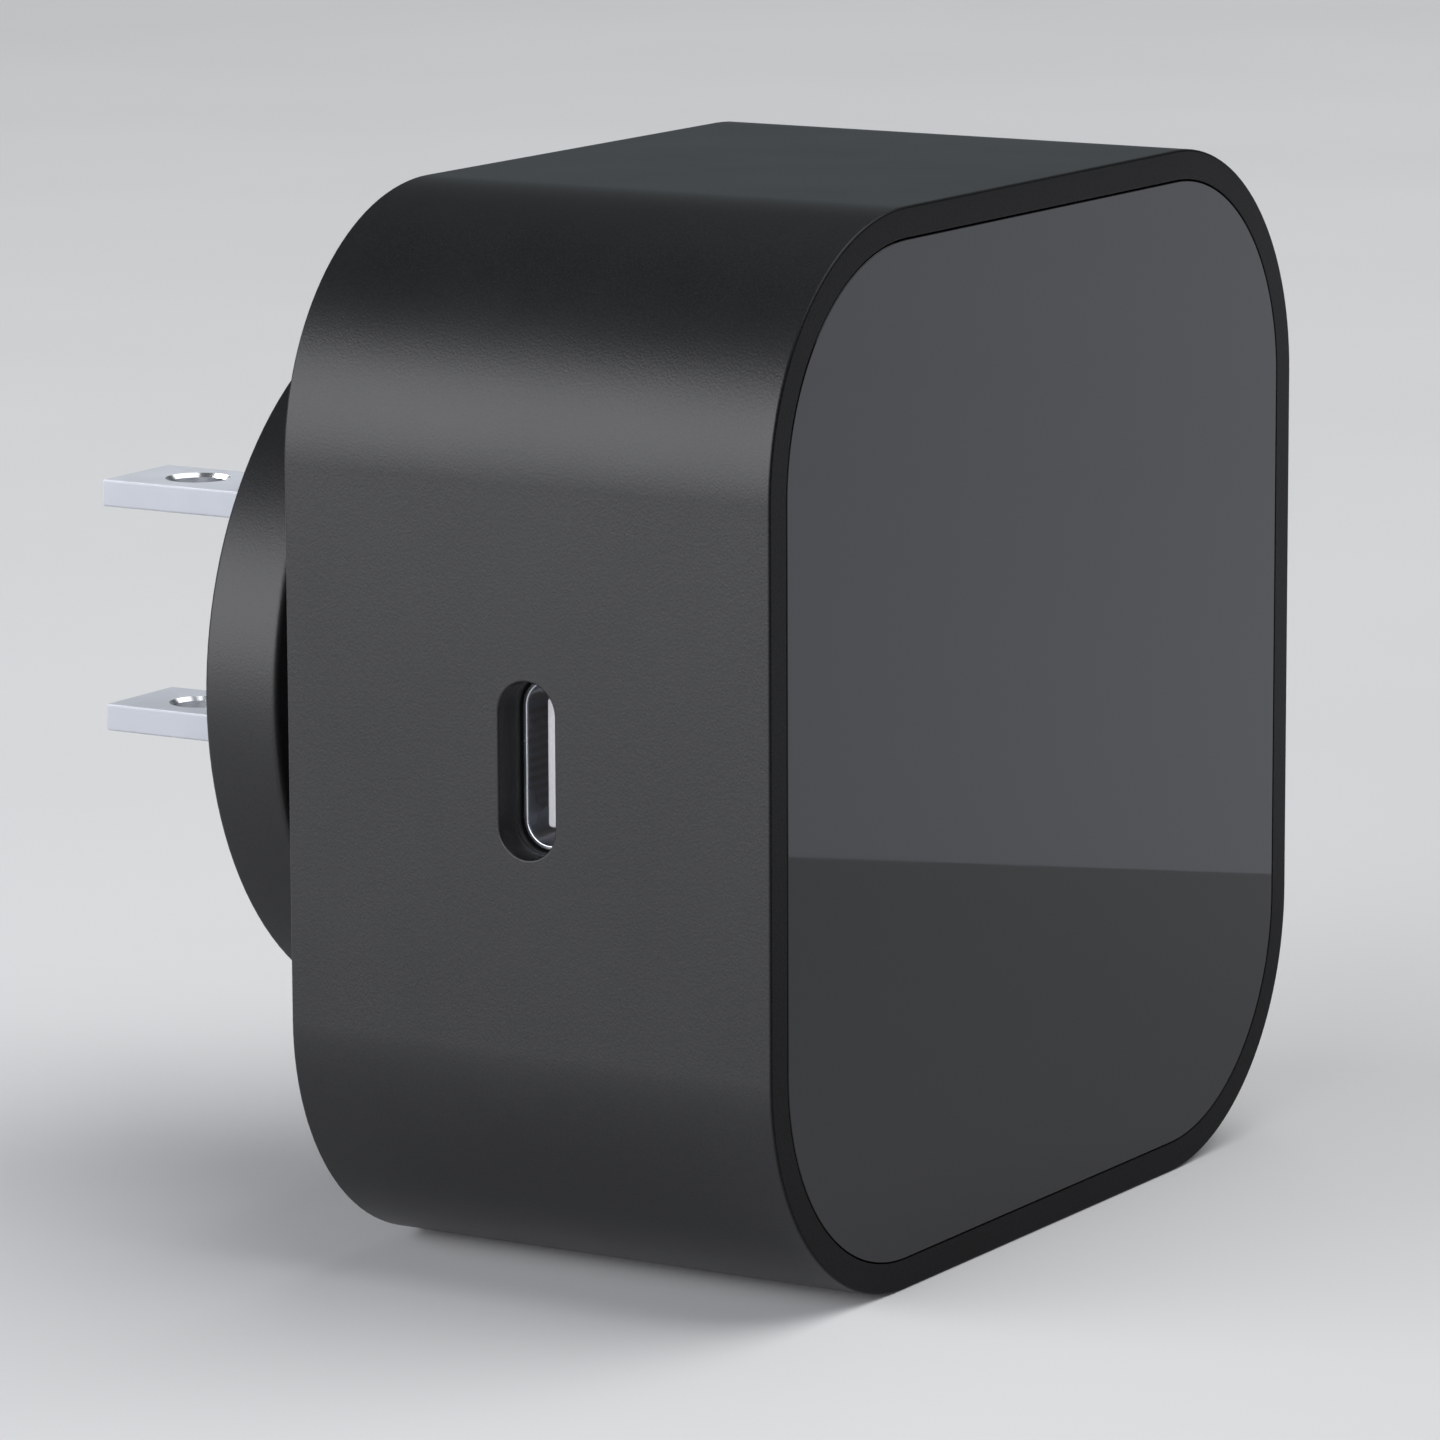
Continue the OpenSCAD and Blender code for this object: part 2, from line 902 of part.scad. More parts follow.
module chip_resistors() {
    color("black") {
        chip_row(10.5, 14, 4, 2, 1.2, 0.5);
        chip_row(-9.5, 14, 4, 2, 1.2, 0.5);
        chip_row(-11.5, -21, 3, 2, 1.2, 0.5);
    }
}

module chip_capacitors() {
    color("tan") {
        chip_row(-5.5, 14, 4, 2, 1.2, 1);
        chip_row(-7.5, -21, 3, 2, 1.2, 1);
        chip_row(8, -20, 3, 3.2, 1.6, 1.4);
    }
}

housing_sleeve();
front_panel();
panel_adhesive();
front_frame();
rear_cover();
housing_screws();
port_collar();
insulation_sheet();
heat_spreader();
thermal_pad();
plug_disc();
swivel_hub();
hub_screws();
blade_upper();
blade_lower();
contact_carrier();
ring_contact();
centre_contact();
retaining_ring();
wave_washer();
thrust_washer();
detent_spring();
ring_contact_finger();
centre_contact_finger();
main_board();
usb_c_shell();
usb_c_tongue();
usb_c_contacts();
fuse();
varistor();
x_capacitor();
choke_core();
choke_windings();
bridge_rectifier();
bulk_capacitors();
transformer_core();
transformer_bobbin();
transformer_winding();
transformer_tape();
transformer_pins();
power_transistor();
controller_chip();
optocoupler();
y_capacitor();
isolation_barrier();
sync_rectifier();
output_capacitors();
power_delivery_chip();
chip_resistors();
chip_capacitors();
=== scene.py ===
"""USB wall charger with a swivel plug head: detailed pieces, materials, lights and camera."""
import json
import math

import bmesh
import bpy
from mathutils import Matrix, Vector


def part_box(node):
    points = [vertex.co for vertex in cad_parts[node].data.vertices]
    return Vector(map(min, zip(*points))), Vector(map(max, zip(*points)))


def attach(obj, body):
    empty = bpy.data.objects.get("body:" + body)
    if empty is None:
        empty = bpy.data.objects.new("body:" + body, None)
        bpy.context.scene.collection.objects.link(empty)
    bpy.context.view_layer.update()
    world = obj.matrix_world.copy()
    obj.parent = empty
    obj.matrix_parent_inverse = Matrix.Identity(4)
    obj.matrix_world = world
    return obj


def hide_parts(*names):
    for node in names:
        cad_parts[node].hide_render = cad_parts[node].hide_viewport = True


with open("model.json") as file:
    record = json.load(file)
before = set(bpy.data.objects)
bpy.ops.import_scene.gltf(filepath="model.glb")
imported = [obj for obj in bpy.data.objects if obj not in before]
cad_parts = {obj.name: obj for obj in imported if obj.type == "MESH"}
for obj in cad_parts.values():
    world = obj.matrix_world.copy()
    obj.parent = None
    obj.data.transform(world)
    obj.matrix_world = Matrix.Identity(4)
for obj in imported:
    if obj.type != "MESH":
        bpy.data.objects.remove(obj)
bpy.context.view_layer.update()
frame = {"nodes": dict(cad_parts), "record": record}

MM = 0.001

# ---- Places, read from the frame ----

SLEEVE_LOW, SLEEVE_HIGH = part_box("housing_sleeve")
PANEL_LOW, PANEL_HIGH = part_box("front_panel")
COVER_LOW, COVER_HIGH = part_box("rear_cover")
FRAME_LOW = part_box("front_frame")[0]
DISC_LOW, DISC_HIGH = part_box("plug_disc")
SHELL_LOW, SHELL_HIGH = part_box("usb_c_shell")
TONGUE_LOW, TONGUE_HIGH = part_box("usb_c_tongue")
COLLAR_LOW, COLLAR_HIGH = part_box("port_collar")

BODY_W = SLEEVE_HIGH.x - SLEEVE_LOW.x
FRONT_Y = SLEEVE_LOW.y
REAR_Y = SLEEVE_HIGH.y
PORT_Y = (COLLAR_LOW.y + COLLAR_HIGH.y) / 2
DISC_R = DISC_HIGH.x

# ---- Sizes that the boxes don't give, as in the part's own design ----

CORNER_R = 13.5 * MM
WALL_T = 1.6 * MM
FRAME_T = 1.6 * MM
LEDGE_W = 1.2 * MM
LEDGE_T = 1.0 * MM
COVER_T = 1.8 * MM
SLOT_W = 3.35 * MM
SLOT_L = 9.1 * MM
SHELL_W = 3.16 * MM
SHELL_L = 8.94 * MM
SHELL_T = 0.3 * MM
BLADE_W = 6.35 * MM
BLADE_T = 1.52 * MM
BLADE_HOLE_R = 1.6 * MM
BLADE_HOLE_Y = 14 * MM
BLADE_CHAMFER = 0.22 * MM
FLANGE_T = 2 * MM
FLANGE_SEAT_R = 14.25 * MM
NECK_R = 15 * MM
NECK_FOOT = 1.4 * MM
BOSS_R = 11.6 * MM
BOSS_H = 1.6 * MM
BEARING_R = 8.55 * MM
STOP_TRACK_R = 11.8 * MM
STOP_TRACK_HALF_W = 0.95 * MM
STOP_TRACK_D = 1.5 * MM
DETENT_WINDOW = Vector((9.2, 3, 2.8)) * MM
POST_AT = 19.6 * MM
POST_R = 2.8 * MM
SCREW_R = 1.1 * MM
SCREW_HEAD_R = 2.1 * MM
SCREW_HEAD_T = 1.1 * MM
SCREW_GAP = 0.15 * MM

ARC_STEPS = 32


# ---- Mesh helpers ----

def rounded_outline(width, height, radius, steps=ARC_STEPS):
    """Points of a rounded rectangle about the middle, anticlockwise from the right."""
    points = []
    for quarter, (side, up) in enumerate(((1, 1), (-1, 1), (-1, -1), (1, -1))):
        centre_u = side * (width / 2 - radius)
        centre_v = up * (height / 2 - radius)
        for step in range(steps + 1):
            angle = math.radians(90 * (quarter + step / steps))
            points.append((centre_u + radius * math.cos(angle), centre_v + radius * math.sin(angle)))
    return points


def circle_outline(radius, steps=128):
    """Points of a circle about the middle."""
    turns = [2 * math.pi * step / steps for step in range(steps)]
    return [(radius * math.cos(turn), radius * math.sin(turn)) for turn in turns]


def in_depth(outline, y):
    """Puts an outline drawn in X and Z at one depth."""
    return [Vector((u, y, v)) for u, v in outline]


def in_side(outline, x):
    """Puts an outline drawn in Y and Z about the port's middle at one X."""
    return [Vector((x, PORT_Y + u, v)) for u, v in outline]


def quarter_round(radius, steps=5):
    """(across, along) pairs from (0, radius) to (radius, 0), for rounding an outside edge."""
    turns = [math.pi / 2 * step / steps for step in range(steps + 1)]
    return [(radius - radius * math.cos(turn), radius - radius * math.sin(turn)) for turn in turns]


def loft(name, rings, closed=False, caps=True):
    """A skin over rings with equal numbers of points. Closed joins the last ring to the first."""
    made = bmesh.new()
    rows = [[made.verts.new(point) for point in ring] for ring in rings]
    pairs = list(zip(rows, rows[1:]))
    if closed:
        pairs.append((rows[-1], rows[0]))
    for near, far in pairs:
        for k in range(len(near)):
            after = (k + 1) % len(near)
            made.faces.new((near[k], near[after], far[after], far[k]))
    if caps and not closed:
        made.faces.new(rows[0])
        made.faces.new(rows[-1])
    bmesh.ops.remove_doubles(made, verts=made.verts, dist=1e-7)
    bmesh.ops.dissolve_degenerate(made, edges=made.edges, dist=1e-8)
    bmesh.ops.recalc_face_normals(made, faces=made.faces)
    return object_from(made, name)


def object_from(made, name):
    """Turns a bmesh into an object in the scene."""
    mesh = bpy.data.meshes.new(name)
    made.to_mesh(mesh)
    made.free()
    piece = bpy.data.objects.new(name, mesh)
    bpy.context.scene.collection.objects.link(piece)
    return piece


def box_piece(name, low, high, bevel=0.0):
    """A box between two corners, with rounded edges if a bevel is given."""
    made = bmesh.new()
    bmesh.ops.create_cube(made, size=1)
    low = Vector(low)
    high = Vector(high)
    bmesh.ops.scale(made, vec=high - low, verts=made.verts)
    bmesh.ops.translate(made, vec=(low + high) / 2, verts=made.verts)
    if bevel:
        bmesh.ops.bevel(made, geom=list(made.edges), offset=bevel, segments=3, profile=0.5,
                        affect="EDGES", clamp_overlap=True)
    return object_from(made, name)


def apply_modifiers(piece):
    """Bakes a piece's modifiers into its mesh."""
    graph = bpy.context.evaluated_depsgraph_get()
    mesh = bpy.data.meshes.new_from_object(piece.evaluated_get(graph))
    old = piece.data
    piece.modifiers.clear()
    piece.data = mesh
    bpy.data.meshes.remove(old)


def cut(piece, cutters):
    """Cuts each cutter's shape out of the piece and removes the cutters."""
    for cutter in cutters:
        step = piece.modifiers.new("cut", "BOOLEAN")
        step.operation = "DIFFERENCE"
        step.solver = "EXACT"
        step.object = cutter
    apply_modifiers(piece)
    for cutter in cutters:
        bpy.data.objects.remove(cutter)


def turned(name, profile, middle=(0.0, 0.0), steps=128):
    """A solid of revolution about an axis along Y, from (radius, y) pairs."""
    rings = []
    for radius, y in profile:
        rings.append([Vector((middle[0] + u, y, middle[1] + v)) for u, v in circle_outline(radius, steps)])
    return loft(name, rings)


def unite(piece, others):
    """Melts the other pieces into the first and removes them."""
    for other in others:
        step = piece.modifiers.new("unite", "BOOLEAN")
        step.operation = "UNION"
        step.solver = "EXACT"
        step.object = other
    apply_modifiers(piece)
    for other in others:
        bpy.data.objects.remove(other)


def join(name, pieces):
    """Joins separate shells into one piece."""
    made = bmesh.new()
    for piece in pieces:
        made.from_mesh(piece.data)
        bpy.data.objects.remove(piece)
    return object_from(made, name)


def smooth(piece):
    """Smooth shading except at sharp corners, weighted by face size so that flats stay flat."""
    sharp_from = math.radians(38)
    for face in piece.data.polygons:
        face.use_smooth = True
    piece.data.set_sharp_from_angle(angle=sharp_from)
    weighted = piece.modifiers.new("weighted_normals", "WEIGHTED_NORMAL")
    weighted.keep_sharp = True
    weighted.weight = 80


def place(piece, body, nodes, material):
    """Gives a finished piece its material, its body and the CAD nodes it stands for."""
    piece.data.materials.clear()
    piece.data.materials.append(material)
    smooth(piece)
    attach(piece, body)
    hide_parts(*nodes)


# ---- Material helpers ----

def add(tree, kind, inputs=None, **settings):
    """Adds a node and sets its properties and its unlinked inputs."""
    made = tree.nodes.new(kind)
    for key, value in settings.items():
        setattr(made, key, value)
    for key, value in (inputs or {}).items():
        made.inputs[key].default_value = value
    return made


def new_material(name, **sockets):
    """A Principled material. Sockets are given by name, with _ for a space."""
    material = bpy.data.materials.new(name)
    material.use_nodes = True
    shader = material.node_tree.nodes["Principled BSDF"]
    for key, value in sockets.items():
        shader.inputs[key.replace("_", " ")].default_value = value
    return material, material.node_tree, shader


def object_coordinates(tree, stretch=(1, 1, 1)):
    """The piece's own coordinates in metres, optionally stretched."""
    source = add(tree, "ShaderNodeTexCoord")
    scaled = add(tree, "ShaderNodeVectorMath", operation="MULTIPLY")
    scaled.inputs[1].default_value = stretch
    tree.links.new(source.outputs["Object"], scaled.inputs[0])
    return scaled.outputs[0]


def noise(tree, feature, coordinates, detail):
    """Noise with features of about the given size in metres."""
    made = add(tree, "ShaderNodeTexNoise", {"Scale": 1 / feature, "Detail": detail})
    tree.links.new(coordinates, made.inputs["Vector"])
    return made.outputs["Fac"]


def spread(tree, source, low, high, from_low=0.3, from_high=0.7):
    """Maps a value to a range. Unless told otherwise it expects noise, which stays near 0.3 to 0.7."""
    made = add(tree, "ShaderNodeMapRange", {"From Min": from_low, "From Max": from_high,
                                            "To Min": low, "To Max": high})
    tree.links.new(source, made.inputs["Value"])
    return made.outputs["Result"]


def colour_between(tree, source, dark, light):
    """Runs a colour from dark to light with a noise value."""
    ramp = add(tree, "ShaderNodeValToRGB")
    ramp.color_ramp.elements[0].position = 0.3
    ramp.color_ramp.elements[0].color = (*dark, 1)
    ramp.color_ramp.elements[1].position = 0.7
    ramp.color_ramp.elements[1].color = (*light, 1)
    tree.links.new(source, ramp.inputs["Fac"])
    return ramp.outputs["Color"]


def bump(tree, height, depth, strength=1.0):
    """A bump of the given depth in metres."""
    made = add(tree, "ShaderNodeBump", {"Strength": strength, "Distance": depth})
    tree.links.new(height, made.inputs["Height"])
    return made.outputs["Normal"]


def tinted(colour, factor):
    """A colour made lighter or darker."""
    return tuple(min(1.0, part * factor) for part in colour)


def moulded(name, colour, roughness, grain=0.16 * MM, grain_depth=0.004 * MM, mottle=0.06,
            roughness_spread=0.05):
    """Moulded or sprayed surface: fine grain, slight mottling and uneven gloss."""
    grain_share = 0.8
    cloud_share = 0.2
    material, tree, shader = new_material(name)
    coordinates = object_coordinates(tree)
    fine = noise(tree, grain, coordinates, detail=1.5)
    cloud = noise(tree, 6 * MM, coordinates, detail=3.0)
    faint_cloud = add(tree, "ShaderNodeMath", operation="MULTIPLY")
    faint_cloud.inputs[1].default_value = cloud_share
    tree.links.new(cloud, faint_cloud.inputs[0])
    both = add(tree, "ShaderNodeMath", operation="MULTIPLY_ADD")
    both.inputs[1].default_value = grain_share
    tree.links.new(fine, both.inputs[0])
    tree.links.new(faint_cloud.outputs[0], both.inputs[2])
    colours = colour_between(tree, both.outputs[0], tinted(colour, 1 - mottle), tinted(colour, 1 + mottle))
    tree.links.new(colours, shader.inputs["Base Color"])
    tree.links.new(spread(tree, cloud, roughness - roughness_spread, roughness + roughness_spread),
                   shader.inputs["Roughness"])
    tree.links.new(bump(tree, fine, grain_depth), shader.inputs["Normal"])
    return material


def rim_painted_shade(material, specular):
    """Painted shade: fades the shine of a material down on the faces at the very front, so that the front
    rim reads darker, as a face turned away from the lights does.
    """
    tree = material.node_tree
    level = tree.nodes["Principled BSDF"].inputs["Specular IOR Level"]
    along = add(tree, "ShaderNodeSeparateXYZ")
    tree.links.new(object_coordinates(tree), along.inputs[0])
    fade_from = FRONT_Y + 0.02 * MM
    fade_to = FRONT_Y + 0.16 * MM
    fade = spread(tree, along.outputs["Y"], specular, level.default_value, fade_from, fade_to)
    tree.links.new(fade, level)


def polished_holes(material, colour):
    """Makes a blade's hole and its chamfers shinier than the flats, as the punch leaves them."""
    polished_r = BLADE_HOLE_R + BLADE_CHAMFER
    soft_from = polished_r - 0.01 * MM
    soft_to = polished_r + 0.03 * MM
    tree = material.node_tree
    shader = tree.nodes["Principled BSDF"]
    from_hole = add(tree, "ShaderNodeVectorMath", operation="SUBTRACT")
    from_hole.inputs[1].default_value = (0, BLADE_HOLE_Y, 0)
    tree.links.new(object_coordinates(tree, (1, 1, 0)), from_hole.inputs[0])
    away = add(tree, "ShaderNodeVectorMath", operation="LENGTH")
    tree.links.new(from_hole.outputs[0], away.inputs[0])
    polish = spread(tree, away.outputs["Value"], 1, 0, soft_from, soft_to)
    for socket, polished in (("Metallic", 1.0), ("Roughness", 0.22)):
        plain = shader.inputs[socket]
        blend = add(tree, "ShaderNodeMapRange", {"To Min": plain.default_value, "To Max": polished})
        if plain.is_linked:
            tree.links.new(plain.links[0].from_socket, blend.inputs["To Min"])
        tree.links.new(polish, blend.inputs["Value"])
        tree.links.new(blend.outputs["Result"], plain)
    tint = add(tree, "ShaderNodeMixRGB", {"Color2": (*colour, 1)})
    tree.links.new(polish, tint.inputs["Fac"])
    tree.links.new(shader.inputs["Base Color"].links[0].from_socket, tint.inputs["Color1"])
    tree.links.new(tint.outputs["Color"], shader.inputs["Base Color"])


def plated(name, colour, roughness, brush=(1, 0.05, 1), metallic=1.0):
    """Bare or plated metal with fine drawing lines along one axis."""
    line_size = 0.12 * MM
    line_depth = 0.001 * MM
    roughness_spread = 0.06
    material, tree, shader = new_material(name, Metallic=metallic)
    lines = noise(tree, line_size, object_coordinates(tree, brush), detail=3.0)
    cloud = noise(tree, 2.5 * MM, object_coordinates(tree), detail=3.0)
    colours = colour_between(tree, cloud, tinted(colour, 0.94), colour)
    tree.links.new(colours, shader.inputs["Base Color"])
    tree.links.new(spread(tree, cloud, roughness - roughness_spread, roughness + roughness_spread),
                   shader.inputs["Roughness"])
    tree.links.new(bump(tree, lines, line_depth), shader.inputs["Normal"])
    return material


def glossy_panel(name, colour):
    """Polished panel: almost a mirror at its surface, with the faintest orange peel and haze."""
    clearest = 0.018
    haziest = 0.034
    peel_depth = 0.0004 * MM
    material, tree, shader = new_material(name, IOR=1.5, Specular_IOR_Level=0.325,
                                          Specular_Tint=(0.86, 0.90, 1.0, 1))
    coordinates = object_coordinates(tree)
    cloud = noise(tree, 9 * MM, coordinates, detail=3.0)
    peel = noise(tree, 3 * MM, coordinates, detail=1.0)
    colours = colour_between(tree, cloud, tinted(colour, 0.93), tinted(colour, 1.07))
    tree.links.new(colours, shader.inputs["Base Color"])
    tree.links.new(spread(tree, cloud, clearest, haziest), shader.inputs["Roughness"])
    tree.links.new(bump(tree, peel, peel_depth, strength=0.5), shader.inputs["Normal"])
    return material


# ---- Materials, one for each slot of the record ----

MATERIALS = {
    "housing_plastic": moulded("housing_plastic", (0.0066, 0.007, 0.0076), roughness=0.39,
                               grain=0.13 * MM, grain_depth=0.009 * MM, mottle=0.4,
                               roughness_spread=0.012),
    "disc_plastic": moulded("disc_plastic", (0.0066, 0.007, 0.0076), roughness=0.39,
                            grain=0.13 * MM, grain_depth=0.009 * MM, mottle=0.36,
                            roughness_spread=0.012),
    "inner_plastic": moulded("inner_plastic", (0.016, 0.0165, 0.018), roughness=0.5),
    "panel_gloss": glossy_panel("panel_gloss", (0.006, 0.006, 0.007)),
    "tongue_plastic": moulded("tongue_plastic", (0.66, 0.66, 0.69), roughness=0.35),
    "nylon_natural": moulded("nylon_natural", (0.72, 0.69, 0.6), roughness=0.4),
    "board_laminate": moulded("board_laminate", (0.012, 0.12, 0.05), roughness=0.3, grain=0.5 * MM),
    "adhesive_tape": moulded("adhesive_tape", (0.62, 0.62, 0.6), roughness=0.7, grain=0.3 * MM),
    "insulation_film": moulded("insulation_film", (0.66, 0.6, 0.42), roughness=0.25, grain=1 * MM),
    "silicone_pad": moulded("silicone_pad", (0.32, 0.42, 0.56), roughness=0.6, grain=0.3 * MM),
    "fuse_case": moulded("fuse_case", (0.1, 0.04, 0.02), roughness=0.4),
    "disc_coating": moulded("disc_coating", (0.03, 0.1, 0.36), roughness=0.3, grain=0.8 * MM,
                            grain_depth=0.03 * MM),
    "film_case": moulded("film_case", (0.66, 0.48, 0.06), roughness=0.35),
    "ferrite": moulded("ferrite", (0.02, 0.02, 0.022), roughness=0.6, grain=0.1 * MM),
    "chip_plastic": moulded("chip_plastic", (0.012, 0.012, 0.013), roughness=0.5, grain=0.08 * MM),
    "chip_ceramic": moulded("chip_ceramic", (0.42, 0.28, 0.15), roughness=0.45),
    "can_sleeve": moulded("can_sleeve", (0.012, 0.02, 0.07), roughness=0.25, grain=1 * MM),
    "bobbin_plastic": moulded("bobbin_plastic", (0.03, 0.03, 0.03), roughness=0.45),
    "winding_tape": moulded("winding_tape", (0.72, 0.5, 0.05), roughness=0.25, grain=0.9 * MM),
    "blade_nickel": plated("blade_nickel", (0.455, 0.473, 0.52), roughness=0.45, metallic=0.1),
    "steel_bright": plated("steel_bright", (0.5, 0.5, 0.52), roughness=0.42),
    "port_steel": plated("port_steel", (0.62, 0.64, 0.70), roughness=0.25, brush=(0.05, 1, 1)),
    "contact_brass": plated("contact_brass", (0.8, 0.58, 0.22), roughness=0.25),
    "contact_gold": plated("contact_gold", (0.52, 0.46, 0.35), roughness=0.35),
    "aluminium_plate": plated("aluminium_plate", (0.72, 0.73, 0.74), roughness=0.35),
    "can_aluminium": plated("can_aluminium", (0.78, 0.78, 0.79), roughness=0.22),
    "copper_wire": plated("copper_wire", (0.72, 0.3, 0.14), roughness=0.28, brush=(1, 1, 1)),
    "tinned_pins": plated("tinned_pins", (0.68, 0.68, 0.68), roughness=0.3),
}

# Painted shade: the sleeve's front rim gets almost no shine, so that it reads darker than the sides.
rim_painted_shade(MATERIALS["housing_plastic"], 0.05)
polished_holes(MATERIALS["blade_nickel"], (0.72, 0.73, 0.76))


def dress_cad_nodes():
    """Gives every carried-over CAD node the material of its slot."""
    for part in frame["record"]["subparts"]:
        piece = frame["nodes"][part["node"]]
        piece.data.materials.clear()
        piece.data.materials.append(MATERIALS[part["material_slot"]])


# ---- Detailed pieces ----

def sleeve_ring(inset, y):
    """The sleeve's outline, moved in by an inset, at one depth."""
    return in_depth(rounded_outline(BODY_W - 2 * inset, BODY_W - 2 * inset, CORNER_R - inset), y)


def build_sleeve():
    """Square tube with softened edges, inner ledges and the lipped port slot."""
    outer_edge = 0.14 * MM
    inner_edge = 0.05 * MM
    seat_y = FRAME_LOW.y + FRAME_T
    cover_seat_y = REAR_Y - COVER_T
    inner = WALL_T
    window = WALL_T + LEDGE_W
    profile = [(across, FRONT_Y + along) for across, along in quarter_round(outer_edge)]
    profile += [(inner - across, FRONT_Y + along) for across, along in reversed(quarter_round(inner_edge))]
    profile += [(inner, seat_y), (window, seat_y), (window, seat_y + LEDGE_T), (inner, seat_y + LEDGE_T)]
    profile += [(inner, cover_seat_y - LEDGE_T), (window, cover_seat_y - LEDGE_T),
                (window, cover_seat_y), (inner, cover_seat_y)]
    profile += [(inner - across, REAR_Y - along) for across, along in quarter_round(inner_edge)]
    profile += [(across, REAR_Y - along) for across, along in reversed(quarter_round(outer_edge))]
    sleeve = loft("sleeve_detail", [sleeve_ring(inset, y) for inset, y in profile], closed=True)
    lip = 0.12 * MM
    side_x = SLEEVE_LOW.x
    slot_profile = [(side_x + 2 * WALL_T, 0.0)]
    slot_profile += [(side_x + along, across) for across, along in quarter_round(lip)]
    slot_profile += [(side_x - MM, lip)]
    cutter = loft("slot_cutter", [
        in_side(rounded_outline(SLOT_W + 2 * grow, SLOT_L + 2 * grow, SLOT_W / 2 + grow, 20), x)
        for x, grow in slot_profile])
    cut(sleeve, [cutter])
    place(sleeve, "housing", ["housing_sleeve"], MATERIALS["housing_plastic"])


def build_panel():
    """Flush front panel with a fine polished edge."""
    edge = 0.05 * MM
    width = PANEL_HIGH.x - PANEL_LOW.x
    radius = CORNER_R - (BODY_W - width) / 2
    profile = [(0.0, PANEL_HIGH.y)]
    profile += [(across, PANEL_LOW.y + along) for across, along in quarter_round(edge)]
    panel = loft("panel_detail", [
        in_depth(rounded_outline(width - 2 * inset, width - 2 * inset, radius - inset), y)
        for inset, y in profile])
    place(panel, "housing", ["front_panel"], MATERIALS["panel_gloss"])


def blade_middle(node):
    """Height of a blade's middle, from the end of its box that the root doesn't widen."""
    low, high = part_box(node)
    if node == "blade_upper":
        return high.z - BLADE_T / 2
    return low.z + BLADE_T / 2


def build_disc():
    """Round plug disc with softened edges, its recess for the hub and its two blade slots."""
    wall_edge = 0.22 * MM
    housing_edge = 0.45 * MM
    gap = 0.04 * MM
    seat_y = DISC_LOW.y + FLANGE_T
    profile = []
    for across, along in reversed(quarter_round(wall_edge)):
        profile.append((DISC_R - across, DISC_HIGH.y - along))
    for across, along in quarter_round(housing_edge, 8):
        profile.append((DISC_R - across, DISC_LOW.y + along))
    profile += [(FLANGE_SEAT_R, DISC_LOW.y), (FLANGE_SEAT_R, seat_y)]
    disc = turned("disc_detail", profile)
    slots = []
    for node in ("blade_upper", "blade_lower"):
        z = blade_middle(node)
        slots.append(box_piece("blade_slot", (-BLADE_W / 2 - gap, seat_y - MM, z - BLADE_T / 2 - gap),
                               (BLADE_W / 2 + gap, MM, z + BLADE_T / 2 + gap)))
    cut(disc, slots)
    place(disc, "plug_head", ["plug_disc"], MATERIALS["disc_plastic"])


def hole_cutter(y, z):
    """A round cutter that chamfers both faces of a blade."""
    chamfer = BLADE_CHAMFER
    top = BLADE_T / 2
    upper_half = [(BLADE_HOLE_R + 2 * chamfer, top + chamfer), (BLADE_HOLE_R + chamfer, top),
                  (BLADE_HOLE_R, top - chamfer)]
    levels = upper_half + [(radius, -height) for radius, height in reversed(upper_half)]
    return loft("hole_cutter", [
        [Vector((u, y + v, z + height)) for u, v in circle_outline(radius, 64)]
        for radius, height in levels])


def build_blade(node):
    """A plug blade with softened edges and a chamfered hole, with its root and tail."""
    low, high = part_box(node)
    z = blade_middle(node)
    root_high_y = DISC_LOW.y + FLANGE_T
    root_low_y = root_high_y - 1.2 * MM
    flat_in_root = 0.3 * MM
    tail_in_root = 0.2 * MM
    tail_half_w = 1.5 * MM
    tail_t = 0.8 * MM
    tail_z = low.z + tail_t / 2 if node == "blade_upper" else high.z - tail_t / 2
    flat_edge = 0.13 * MM
    hidden_edge = 0.05 * MM
    flat = box_piece("flat", (-BLADE_W / 2, root_high_y - flat_in_root, z - BLADE_T / 2),
                     (BLADE_W / 2, high.y, z + BLADE_T / 2), flat_edge)
    cut(flat, [hole_cutter(BLADE_HOLE_Y, z)])
    root = box_piece("root", (-BLADE_W / 2, root_low_y, low.z), (BLADE_W / 2, root_high_y, high.z),
                     hidden_edge)
    tail = box_piece("tail", (-tail_half_w, low.y, tail_z - tail_t / 2),
                     (tail_half_w, root_low_y + tail_in_root, tail_z + tail_t / 2), hidden_edge)
    blade = join(node + "_detail", [flat, root, tail])
    place(blade, "plug_head", [node], MATERIALS["blade_nickel"])


def post_places():
    """Middles of the four screw posts, in X and Z."""
    return [(side * POST_AT, up * POST_AT) for side in (-1, 1) for up in (-1, 1)]


def stop_track():
    """The half-ring groove in the neck's end that the stop lug runs in."""
    top_y = COVER_HIGH.y + MM
    low_y = COVER_HIGH.y - STOP_TRACK_D
    steps = 48
    outline = []
    for radius, turns in ((STOP_TRACK_R + STOP_TRACK_HALF_W, range(steps + 1)),
                          (STOP_TRACK_R - STOP_TRACK_HALF_W, range(steps, -1, -1))):
        for step in turns:
            angle = math.pi * step / steps
            outline.append((radius * math.cos(angle), radius * math.sin(angle)))
    groove = loft("groove", [in_depth(outline, y) for y in (top_y, low_y)])
    ends = [turned("groove_end", [(STOP_TRACK_HALF_W, low_y), (STOP_TRACK_HALF_W, top_y)],
                   (side * STOP_TRACK_R, 0), steps=32) for side in (-1, 1)]
    unite(groove, ends)
    return groove


